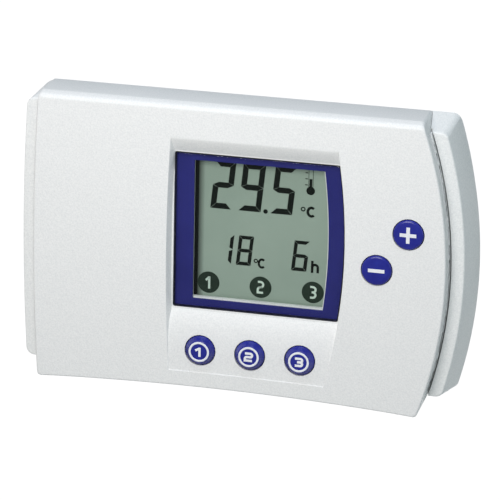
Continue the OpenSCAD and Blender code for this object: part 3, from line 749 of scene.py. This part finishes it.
def lcd_panel():
    """Display: glass, the smaller film on its front, and the figures."""
    low, high = box_mm("lcd_panel")
    film_back = LCD_D + 0.3
    glass = block("lcd_glass", low.x, high.x, film_back, CASE + high.y, low.z, high.z)
    soften(glass, 0.12)
    on_display(lcd_glass(), glass)
    film = block("lcd_film", low.x + 0.8, high.x - 0.8, INK[1], film_back, low.z + 1.2,
                 high.z - 1.2)
    soften(film, 0.08)
    on_display(lcd_film(), film)
    lcd_readings()
    lcd_markers()


# ---- Buttons ----


def fillet(r0, d0, r1, d1, steps=5):
    """Quarter-round step of a lathe profile from (r0, d0) to (r1, d1), bulging outwards."""
    angles = [math.pi / 2 * i / steps for i in range(steps + 1)]
    return [(r0 + (r1 - r0) * math.sin(a), d0 + (d1 - d0) * (1 - math.cos(a))) for a in angles]


def on_key(key, material, piece):
    place(piece, material, "key_" + key, "button", "button_" + key)


def key_cap(key, crown):
    """Blue cap from the profile of its crown, with a straight side and a flange below it."""
    flange_r = HOLE_R + FLANGE
    profile = crown + [(CAP_R, COLLAR_END + 0.1), (flange_r - 0.1, COLLAR_END + 0.1),
                       (flange_r, COLLAR_END + 0.2), (flange_r, FLANGE_BACK), (0, FLANGE_BACK)]
    on_key(key, button_blue(), smooth(lathe("cap_" + key, KEY_AT[key], profile), 40))


def row_button(key):
    """Cap that stands proud of the slope: a cone with a rounded crown and a raised ring."""
    at, top = KEY_AT[key], ROW_TOP
    key_cap(key, [(0, top + 0.12)] + fillet(3.22, top + 0.12, 3.5, top + 0.36)
            + [(CAP_R - 0.1, top + 1.4), (CAP_R - 0.02, top + 1.55), (CAP_R, top + 1.75)])
    on_key(key, white_print(), lathe_ring("ring_" + key, at, 2.5, 3.14, top, top + 0.16))
    for mark in numeral("numeral_" + key, key, *at, 2.9, 2.95, 0.72, top, top + 0.2):
        on_key(key, white_print(), soften(mark, 0.05))


def lathe_ring(name, at, r0, r1, d0, d1):
    """Flat ring with softened edges."""
    e = 0.05
    profile = [(r0, d0 + e), (r0 + e, d0), (r1 - e, d0), (r1, d0 + e), (r1, d1), (r0, d1)]
    steps, n = 96, len(profile)
    vertices = [(x, d, z) for r, d in profile for x, z in arc(at[0], at[1], r, 0, 360, steps)[:-1]]
    faces = []
    for k in range(n):
        a, b = k * steps, (k + 1) % n * steps
        faces += [(a + i, b + i, b + (i + 1) % steps, a + (i + 1) % steps) for i in range(steps)]
    return smooth(solid(name, vertices, faces), 50)


def sign_button(key):
    """Low round cap with a softened rim and a raised white sign."""
    x, z = KEY_AT[key]
    top = SIGN_TOP + 0.1
    key_cap(key, [(0, top), (CAP_R - 0.9, top + 0.03)]
            + fillet(CAP_R - 0.7, top + 0.06, CAP_R, top + 0.7))
    arm, half = 2.45, 0.53
    outline = [(arm, half), (-arm, half), (-arm, -half), (arm, -half)]
    if key == "plus":
        outline = corner = [(arm, half), (half, half), (half, arm)]
        for _ in range(3):
            corner = [(-pz, px) for px, pz in corner]
            outline = outline + corner
    sign = prism("sign_" + key, [(x + px, z + pz) for px, pz in outline], SIGN_TOP, top + 0.2)
    on_key(key, white_print(), soften(sign, 0.06))


# ---- Materials ----


def srgb(r, g, b):
    """Linear colour from display values between 0 and 255."""
    def line(v):
        v /= 255
        return v / 12.92 if v <= 0.04045 else ((v + 0.055) / 1.055) ** 2.4
    return line(r), line(g), line(b), 1.0


class Nodes:
    """Short notation for building a node material."""

    def __init__(self, name):
        self.material = bpy.data.materials.new(name)
        self.material.use_nodes = True
        self.tree = self.material.node_tree
        self.tree.nodes.clear()
        self.output = self.add("OutputMaterial")
        self.place = self.add("TexCoord").outputs["Object"]

    def add(self, kind, sockets=None, **settings):
        """New node with values for its input sockets and its other settings."""
        node = self.tree.nodes.new("ShaderNode" + kind)
        for key, value in settings.items():
            setattr(node, key, value)
        for key, value in (sockets or {}).items():
            node.inputs[key].default_value = value
        return node

    def link(self, source, target):
        self.tree.links.new(source, target)

    def noise(self, scale, detail=4.0, rough=0.6, stretch=None):
        node = self.add("TexNoise", {"Scale": scale, "Detail": detail, "Roughness": rough})
        place = self.place
        if stretch:
            mapping = self.add("Mapping", {"Scale": stretch})
            self.link(place, mapping.inputs["Vector"])
            place = mapping.outputs["Vector"]
        self.link(place, node.inputs["Vector"])
        return node.outputs["Fac"]

    def spread(self, source, low, high, start=0.3, end=0.7):
        """Maps a texture value onto the range low..high."""
        node = self.add("MapRange", {"From Min": start, "From Max": end, "To Min": low,
                                     "To Max": high})
        self.link(source, node.inputs["Value"])
        return node.outputs["Result"]

    def blend(self, source, first, second, start=0.35, end=0.65):
        """Colour that runs from first to second with a texture value."""
        ramp = self.add("ValToRGB")
        for stop, position, color in zip(ramp.color_ramp.elements, (start, end), (first, second)):
            stop.position = position
            stop.color = color
        self.link(source, ramp.inputs["Fac"])
        return ramp.outputs["Color"]

    def bump(self, source, height_mm, strength=1.0, below=None):
        node = self.add("Bump", {"Strength": strength, "Distance": height_mm * MM})
        self.link(source, node.inputs["Height"])
        if below:
            self.link(below, node.inputs["Normal"])
        return node.outputs["Normal"]

    def principled(self, color, rough, normal, metallic=0.0, specular=0.5):
        """Principled shader; color and rough are sockets that vary over the surface."""
        shader = self.add("BsdfPrincipled", {"Metallic": metallic, "Specular IOR Level": specular})
        self.link(color, shader.inputs["Base Color"])
        self.link(rough, shader.inputs["Roughness"])
        self.link(normal, shader.inputs["Normal"])
        self.link(shader.outputs["BSDF"], self.output.inputs["Surface"])
        return self.material


def plain_material(name, dark, light, rough, grain, height_mm, cloud=90.0, metallic=0.0,
                   specular=0.5):
    """Material with clouded colour, uneven gloss and a fine grain."""
    n = Nodes(name)
    color = n.blend(n.noise(cloud, 5, 0.65), srgb(*dark), srgb(*light))
    gloss = n.spread(n.noise(cloud * 3.1, 3), rough[0], rough[1])
    normal = n.bump(n.noise(grain, 3, 0.55), height_mm)
    return n.principled(color, gloss, normal, metallic, specular)


materials = {}


def shared(make):
    """Makes a material once, named after its function, and then hands out the same one."""
    name = make.__name__

    def get():
        if name not in materials:
            materials[name] = make(name)
        return materials[name]
    return get


def textured_white(name, dark, light):
    """White plastic with a fine eroded grain, as moulded from a textured tool."""
    n = Nodes(name)
    fine = n.noise(2100, 3, 0.6)
    color = n.blend(fine, srgb(*dark), srgb(*light), 0.3, 0.7)
    gloss = n.spread(n.noise(55, 4, 0.55), 0.42, 0.56)
    coarse = n.bump(n.noise(900, 2, 0.5), 0.055)
    normal = n.bump(fine, 0.045, 1.0, coarse)
    return n.principled(color, gloss, normal, specular=0.4)


@shared
def cover_plastic(name):
    return textured_white(name, (233, 233, 232), (247, 246, 244))


@shared
def housing_plastic(name):
    return textured_white(name, (231, 232, 231), (246, 246, 244))


@shared
def clear_pane(name):
    """Clear acrylic: it lets the display through and mirrors at grazing angles."""
    n = Nodes(name)
    clear = n.add("BsdfTransparent", {"Color": (0.965, 0.975, 0.97, 1)})
    gloss = n.add("BsdfGlossy")
    n.link(n.spread(n.noise(320, 3), 0.03, 0.07), gloss.inputs["Roughness"])
    n.link(n.bump(n.noise(140, 2), 0.004), gloss.inputs["Normal"])
    fresnel = n.add("Fresnel", {"IOR": 1.36})
    # only the outside mirrors, so the sides seen from within stay clear
    outside = n.add("Math", {0: 1.0}, operation="SUBTRACT")
    n.link(n.add("NewGeometry").outputs["Backfacing"], outside.inputs[1])
    share = n.add("Math", operation="MULTIPLY")
    n.link(fresnel.outputs["Fac"], share.inputs[0])
    n.link(outside.outputs["Value"], share.inputs[1])
    mix = n.add("MixShader")
    n.link(share.outputs["Value"], mix.inputs["Fac"])
    n.link(clear.outputs["BSDF"], mix.inputs[1])
    n.link(gloss.outputs["BSDF"], mix.inputs[2])
    n.link(mix.outputs["Shader"], n.output.inputs["Surface"])
    return n.material


@shared
def blue_print(name):
    return plain_material(name, (37, 38, 114), (43, 44, 124), (0.3, 0.4), 900, 0.004, specular=0.2)


@shared
def rim_painted_shade(name):
    # painted shade: this near-black colour stands in for the shadow in the gap around the pane
    return plain_material(name, (6, 6, 26), (12, 12, 38), (0.3, 0.45), 1200, 0.006)


@shared
def lcd_film(name):
    """Grey-green polariser film with a faint unevenness, and painted shade that darkens it towards
    its left edge.
    """
    n = Nodes(name)
    cloud = n.noise(34, 4, 0.55)
    color = n.blend(cloud, srgb(150, 166, 153), srgb(161, 176, 163), 0.3, 0.7)
    parts = n.add("SeparateXYZ")
    n.link(n.place, parts.inputs["Vector"])
    # painted shade: the film's colour is scaled from a fifth at X = -13.5 mm up to full at X = -11.6
    # mm, a soft shadow fading out beside the dark band at the display's left edge
    edge = n.spread(parts.outputs["X"], 0.2, 1.0, -13.5 * MM, -11.6 * MM)
    shaded = n.add("VectorMath", operation="SCALE")
    n.link(color, shaded.inputs[0])
    n.link(edge, shaded.inputs["Scale"])
    gloss = n.spread(n.noise(2600, 2), 0.34, 0.46)
    return n.principled(shaded.outputs["Vector"], gloss, n.bump(n.noise(2400, 2), 0.003),
                        specular=0.3)


@shared
def lcd_glass(name):
    return plain_material(name, (118, 136, 124), (130, 148, 134), (0.08, 0.16), 500, 0.003)


@shared
def display_ink(name):
    return plain_material(name, (4, 12, 6), (8, 18, 11), (0.6, 0.7), 1500, 0.004, specular=0.1)


@shared
def marker_ink(name):
    return plain_material(name, (32, 46, 36), (44, 58, 48), (0.6, 0.7), 1500, 0.004, specular=0.1)


@shared
def marker_numeral_ink(name):
    return plain_material(name, (200, 218, 204), (212, 228, 214), (0.5, 0.6), 1500, 0.004)


@shared
def button_blue(name):
    return plain_material(name, (26, 30, 132), (36, 44, 150), (0.16, 0.26), 1500, 0.006, cloud=200)


@shared
def white_print(name):
    return plain_material(name, (236, 236, 240), (248, 248, 250), (0.35, 0.5), 2200, 0.008,
                          cloud=400)


def worn_metal(name, dark, light, rough, scratch):
    """Metal with fine stretched scratches and uneven gloss."""
    n = Nodes(name)
    streak = n.noise(scratch, 3, 0.6, (1, 1, 14))
    color = n.blend(streak, srgb(*dark), srgb(*light))
    gloss = n.spread(n.noise(scratch * 0.6, 4), rough[0], rough[1])
    return n.principled(color, gloss, n.bump(streak, 0.006), metallic=1.0)


@shared
def steel(name):
    return worn_metal(name, (168, 172, 178), (206, 209, 213), (0.22, 0.42), 900)


@shared
def spring_steel(name):
    return worn_metal(name, (182, 186, 192), (214, 217, 221), (0.16, 0.34), 1400)


@shared
def brass(name):
    return worn_metal(name, (176, 142, 70), (208, 176, 98), (0.25, 0.4), 1100)


@shared
def can_metal(name):
    return worn_metal(name, (176, 178, 182), (200, 202, 205), (0.2, 0.34), 700)


@shared
def board_lacquer(name):
    """Green lacquered board with the tracks showing through as lighter lines."""
    n = Nodes(name)
    tracks = n.add("TexBrick", {"Scale": 130.0, "Mortar Size": 0.06, "Mortar": srgb(52, 122, 70),
                                "Color1": srgb(24, 84, 46), "Color2": srgb(18, 72, 40)})
    turned = n.add("Mapping", {"Rotation": (math.pi / 2, 0, 0)})
    n.link(n.place, turned.inputs["Vector"])
    n.link(turned.outputs["Vector"], tracks.inputs["Vector"])
    gloss = n.spread(n.noise(260, 3), 0.25, 0.4)
    weave = n.bump(n.noise(1800, 2), 0.004)
    normal = n.bump(tracks.outputs["Fac"], 0.03, 0.6, weave)
    return n.principled(tracks.outputs["Color"], gloss, normal)


@shared
def chip_black(name):
    return plain_material(name, (22, 22, 24), (36, 36, 39), (0.5, 0.66), 2600, 0.012, cloud=300)


@shared
def chip_ceramic(name):
    return plain_material(name, (118, 82, 56), (146, 104, 74), (0.45, 0.6), 2200, 0.008, cloud=500)


@shared
def relay_case(name):
    return plain_material(name, (206, 118, 34), (222, 134, 46), (0.3, 0.42), 900, 0.01, cloud=160)


@shared
def can_sleeve(name):
    return plain_material(name, (16, 20, 42), (28, 32, 58), (0.22, 0.34), 700, 0.008, cloud=260)


@shared
def bead_epoxy(name):
    return plain_material(name, (122, 104, 66), (146, 126, 84), (0.3, 0.46), 1500, 0.02, cloud=500)


@shared
def terminal_green(name):
    return plain_material(name, (34, 112, 66), (44, 126, 78), (0.4, 0.54), 1600, 0.012, cloud=180)


@shared
def grey_silicone(name):
    return plain_material(name, (168, 170, 172), (186, 188, 190), (0.6, 0.74), 1900, 0.014,
                          cloud=150)


@shared
def carbon_pill(name):
    return plain_material(name, (120, 121, 124), (142, 143, 146), (0.55, 0.7), 1900, 0.014,
                          cloud=200)


@shared
def dark_elastomer(name):
    """Layered rubber: fine dark and light layers along the strip."""
    n = Nodes(name)
    layers = n.add("TexWave", {"Scale": 1500.0, "Distortion": 0.6}, wave_type="BANDS",
                   bands_direction="X")
    n.link(n.place, layers.inputs["Vector"])
    color = n.blend(layers.outputs["Fac"], srgb(30, 30, 33), srgb(92, 90, 84))
    gloss = n.spread(n.noise(700, 2), 0.55, 0.7)
    return n.principled(color, gloss, n.bump(layers.outputs["Fac"], 0.01))


@shared
def holder_plastic(name):
    return plain_material(name, (44, 45, 48), (56, 57, 60), (0.5, 0.64), 2000, 0.014, cloud=160)


@shared
def tray_plastic(name):
    return plain_material(name, (92, 98, 108), (106, 112, 122), (0.48, 0.6), 2000, 0.014, cloud=120)


@shared
def reflector_foil(name):
    return plain_material(name, (190, 194, 196), (210, 214, 214), (0.3, 0.42), 1200, 0.006,
                          metallic=0.7)


@shared
def cell_jacket(name):
    """Printed jacket of a battery: a blue body with a gold band near one end."""
    n = Nodes(name)
    parts = n.add("SeparateXYZ")
    n.link(n.place, parts.inputs["Vector"])
    band = n.spread(parts.outputs["Z"], 0.0, 1.0, 0.0149, 0.0151)
    fleck = n.noise(420, 3)
    blue = n.blend(fleck, srgb(30, 60, 122), srgb(40, 74, 140))
    gold = n.blend(fleck, srgb(178, 136, 62), srgb(200, 158, 84))
    color = n.add("Mix", data_type="RGBA")
    n.link(band, color.inputs["Factor"])
    n.link(blue, color.inputs[6])
    n.link(gold, color.inputs[7])
    gloss = n.spread(n.noise(300, 3), 0.18, 0.3)
    return n.principled(color.outputs[2], gloss, n.bump(n.noise(900, 2), 0.006))


@shared
def floor_paper(name):
    return plain_material(name, (238, 238, 237), (246, 246, 245), (0.7, 0.85), 600, 0.05, cloud=6)


# ---- Parts inside the case: the CAD's own shapes with softened edges ----

INSIDE = {
    "lcd_reflector": (reflector_foil, 0.04), "lcd_holder": (holder_plastic, 0.12),
    "zebra_strips": (dark_elastomer, 0.08), "circuit_board": (board_lacquer, 0.1),
    "microcontroller": (chip_black, 0.06), "crystal": (can_metal, 0.25),
    "chip_parts": (chip_ceramic, 0.08), "capacitors": (can_sleeve, 0.25),
    "relay": (relay_case, 0.35), "thermistor": (bead_epoxy, 0.03),
    "terminal_block": (terminal_green, 0.15), "terminal_screws": (steel, 0.08),
    "terminal_clamps": (brass, 0.1), "keypad_lower": (grey_silicone, 0.1),
    "keypad_side": (grey_silicone, 0.1), "battery_tray": (tray_plastic, 0.2),
    "battery_left": (cell_jacket, 0.3), "battery_right": (cell_jacket, 0.3),
    "battery_springs": (spring_steel, 0.0), "battery_plates": (steel, 0.06),
    "board_screws": (steel, 0.08), "cover_screw": (steel, 0.08),
    **{"key_post_" + key: (carbon_pill, 0.12) for key in KEY_AT},
}


def dress_inside():
    """Gives each carried-over CAD node its material and small bevels."""
    for node, (material, width) in INSIDE.items():
        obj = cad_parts[node]
        for slot in obj.material_slots:
            slot.material = material()
        if width > 0:
            add_modifier(obj, "BEVEL", width=width * MM, segments=2, limit_method="ANGLE",
                         angle_limit=math.radians(40), harden_normals=True)


# ---- Floor, light and camera ----


def area_light(name, location, size, power, color):
    """Round lamp that points at the frame's origin."""
    data = bpy.data.lights.new(name, "AREA")
    data.shape = "DISK"
    data.size = size
    data.energy = power
    data.color = color
    light = bpy.data.objects.new(name, data)
    light.location = location
    light.rotation_euler = (-light.location).to_track_quat("-Z", "Y").to_euler()
    bpy.context.scene.collection.objects.link(light)


def studio_floor():
    """Pale flat sheet, well below the case."""
    drop, half_width = 0.35, 0.35
    bm = bmesh.new()
    bmesh.ops.create_grid(bm, x_segments=8, y_segments=8, size=half_width)
    mesh = bpy.data.meshes.new("studio_floor")
    bm.to_mesh(mesh)
    bm.free()
    floor = bpy.data.objects.new("studio_floor", mesh)
    floor.location = (0, -0.1, -drop)
    bpy.context.scene.collection.objects.link(floor)
    floor.data.materials.append(floor_paper())


def studio_sky():
    """Surroundings that are cooler to the right, and a white backdrop behind and below."""
    world = bpy.data.worlds.new("studio")
    bpy.context.scene.world = world
    world.use_nodes = True
    tree = world.node_tree
    tree.nodes.clear()
    link = tree.links.new

    def add(kind):
        return tree.nodes.new("ShaderNode" + kind)

    def ramp(axis, start, end):
        node = add("MapRange")
        node.interpolation_type = "SMOOTHSTEP"
        node.inputs["From Min"].default_value = start
        node.inputs["From Max"].default_value = end
        link(parts.outputs[axis], node.inputs["Value"])
        return node.outputs["Result"]

    parts = add("SeparateXYZ")
    link(add("TexCoord").outputs["Generated"], parts.inputs["Vector"])
    backdrop = add("Math")
    backdrop.operation = "MULTIPLY"
    link(ramp("Y", 0.45, 0.75), backdrop.inputs[0])
    link(ramp("Z", 0.1, -0.1), backdrop.inputs[1])
    shade = add("ValToRGB")
    shade.color_ramp.elements[0].color = (0.34, 0.345, 0.35, 1)
    shade.color_ramp.elements[1].color = (0.25, 0.295, 0.31, 1)
    link(ramp("X", -1, 1), shade.inputs["Fac"])
    mix = add("Mix")
    mix.data_type = "RGBA"
    link(backdrop.outputs["Value"], mix.inputs["Factor"])
    link(shade.outputs["Color"], mix.inputs[6])
    mix.inputs[7].default_value = (1.05, 1.05, 1.05, 1)
    background = add("Background")
    link(mix.outputs[2], background.inputs["Color"])
    link(background.outputs["Background"], add("OutputWorld").inputs["Surface"])


def studio_lights():
    area_light("key", (-0.03, -0.34, 0.20), 0.26, 1.0, (1.0, 0.985, 0.975))
    area_light("top", (0.0, -0.10, 0.44), 0.30, 0.44, (0.66, 0.8, 1.0))
    area_light("side", (0.45, -0.10, 0.10), 0.30, 0.16, (0.8, 0.95, 1.0))


def camera():
    """Camera far away with a long lens, to the right of the case and above it."""
    scene = bpy.context.scene
    distance = 0.95
    data = bpy.data.cameras.new("camera")
    data.lens = 233.05
    data.sensor_width = 36
    data.clip_start = 0.05
    view = bpy.data.objects.new("camera", data)
    right = Vector((0.9717, 0.2353, 0.0212)).normalized()
    ahead = Vector((-0.2170, 0.9243, -0.3141)).normalized()
    up = right.cross(ahead).normalized()
    right = ahead.cross(up)
    target = Vector((4, -CASE, 2)) * MM
    turn = Matrix((right, up, -ahead)).transposed()
    view.matrix_world = Matrix.Translation(target - ahead * distance) @ turn.to_4x4()
    scene.collection.objects.link(view)
    scene.camera = view
    scene.view_settings.view_transform = "Standard"


# ---- Scene ----

front_cover()
rear_housing()
window_pane()
window_rim()
window_frame()
lcd_panel()
for key_name in ROW_KEYS:
    row_button(key_name)
for key_name in SIGN_KEYS:
    sign_button(key_name)
dress_inside()
studio_floor()
studio_sky()
studio_lights()
camera()
